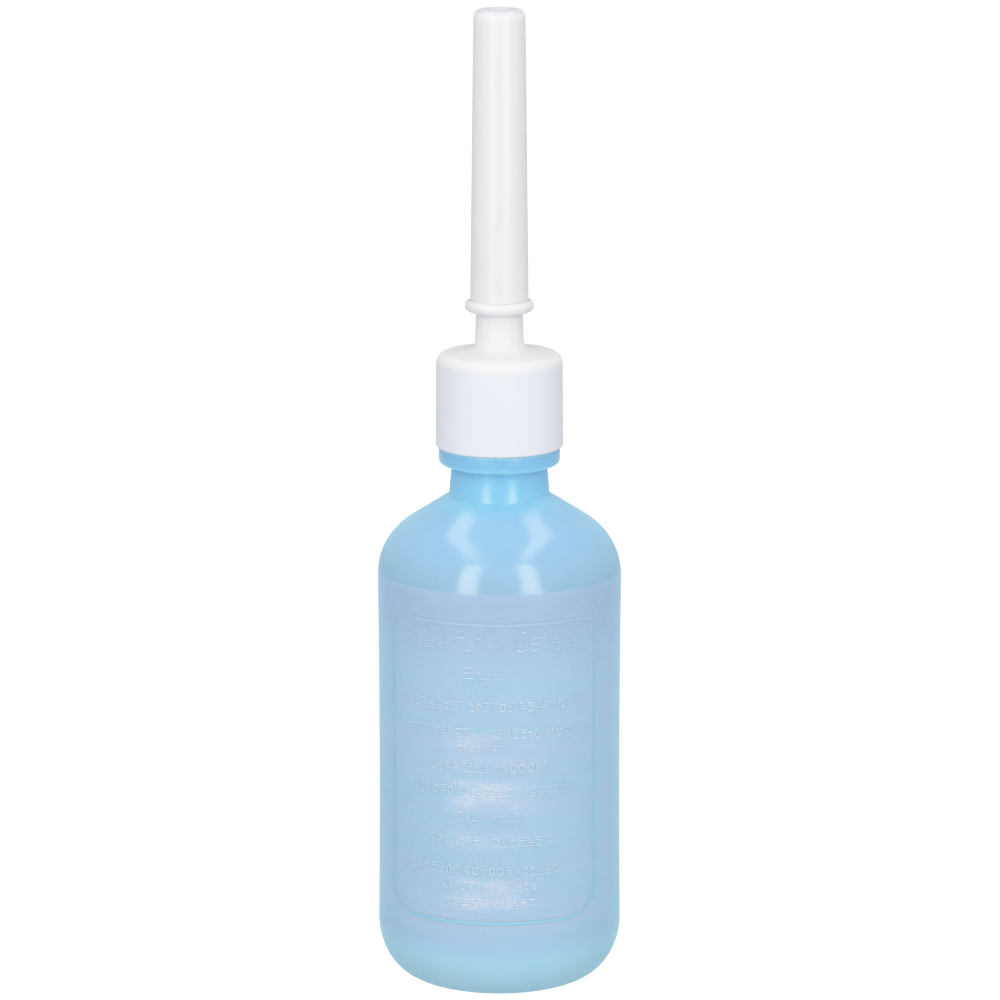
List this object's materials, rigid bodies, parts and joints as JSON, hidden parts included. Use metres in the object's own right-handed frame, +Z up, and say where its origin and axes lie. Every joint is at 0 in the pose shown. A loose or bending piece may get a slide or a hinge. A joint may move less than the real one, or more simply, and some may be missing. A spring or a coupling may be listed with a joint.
{
  "type": "squeeze bottle irrigator",
  "caption": "Round soft squeeze bottle with a screw cap, a hollow spigot and a long tubular rinsing nozzle pushed onto it, for washing out ear wax.",
  "frame": {"origin": "centre of the bottle's base, on the plane it stands on", "axes": "+Z up along the axis of bottle, cap and nozzle; -Y towards the front, where the embossed label frame is; +X to the right seen from the front"},
  "size_m": [0.0586, 0.0586, 0.2342],
  "materials": {
    "bottle": "translucent light blue low-density polyethylene, satin on the side and glossy on neck, shoulder and base",
    "sealing_washer": "soft white foamed polyethylene",
    "screw_cap": "white polypropylene, satin",
    "nozzle_tube": "white polyethylene, satin"
  },
  "bodies": {
    "bottle": {"bottle": "bottle"},
    "washer": {"sealing_washer": "sealing_washer"},
    "cap": {"screw_cap": "screw_cap"},
    "nozzle": {"nozzle_tube": "nozzle_tube"}
  },
  "joints": [
    {"name": "cap_lift", "type": "slide", "parent": "bottle", "child": "washer", "axis": [0, 0, 1], "range_m": [0, 0.00636]},
    {"name": "cap_turn", "type": "hinge", "parent": "washer", "child": "cap", "pos_m": [0, 0, 0.14], "axis": [0, 0, 1], "range_deg": [0, 540]},
    {"name": "nozzle_pull", "type": "slide", "parent": "cap", "child": "nozzle", "axis": [0, 0, 1], "range_m": [0, 0.02]}
  ],
  "couplings": [
    {"joint": "cap_lift", "follows": "cap_turn", "m_per_rad": 0.0006737}
  ]
}
